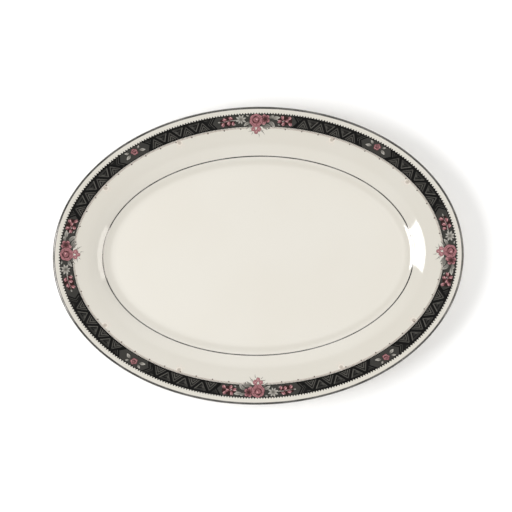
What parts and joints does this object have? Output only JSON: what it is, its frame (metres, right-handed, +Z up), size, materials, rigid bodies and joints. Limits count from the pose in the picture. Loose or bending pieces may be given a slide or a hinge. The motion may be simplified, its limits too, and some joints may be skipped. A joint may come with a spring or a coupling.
{
  "type": "serving platter",
  "caption": "Oval china serving platter: a sloping rim with a dark floral border, a flat glazed well, platinum lines and a low foot ring.",
  "frame": {"origin": "centre of the plane that the foot ring rests on, at the centre of the oval", "axes": "+X along the platter's longest extent, +Y across it, +Z up, out of the well"},
  "size_m": [0.3606, 0.2616, 0.0265],
  "materials": {
    "glazed_china": "glossy clear glaze over warm ivory china; bare and matte on the foot's tread",
    "platinum_lustre": "thin fired platinum lustre, bright, a little worn",
    "border_transfer": "near-black printed transfer fused into the glaze, glossy",
    "floral_transfer": "dark grey ground with rose pink flowers and pale grey leaves, glossy",
    "sprig_transfer": "faint grey and pink print, glossy"
  },
  "bodies": {
    "root": {"china_body": "glazed_china", "rim_line": "platinum_lustre", "verge_line": "platinum_lustre", "rose_panel_right": "floral_transfer", "rose_panel_back": "floral_transfer", "rose_panel_left": "floral_transfer", "rose_panel_front": "floral_transfer", "bud_panel_back_right": "floral_transfer", "bud_panel_back_left": "floral_transfer", "bud_panel_front_left": "floral_transfer", "bud_panel_front_right": "floral_transfer", "border_right_back": "border_transfer", "border_back_right": "border_transfer", "border_back_left": "border_transfer", "border_left_back": "border_transfer", "border_left_front": "border_transfer", "border_front_left": "border_transfer", "border_front_right": "border_transfer", "border_right_front": "border_transfer", "sprig_right_back": "sprig_transfer", "sprig_back_right": "sprig_transfer", "sprig_back_left": "sprig_transfer", "sprig_left_back": "sprig_transfer", "sprig_left_front": "sprig_transfer", "sprig_front_left": "sprig_transfer", "sprig_front_right": "sprig_transfer", "sprig_right_front": "sprig_transfer"}
  },
  "joints": []
}
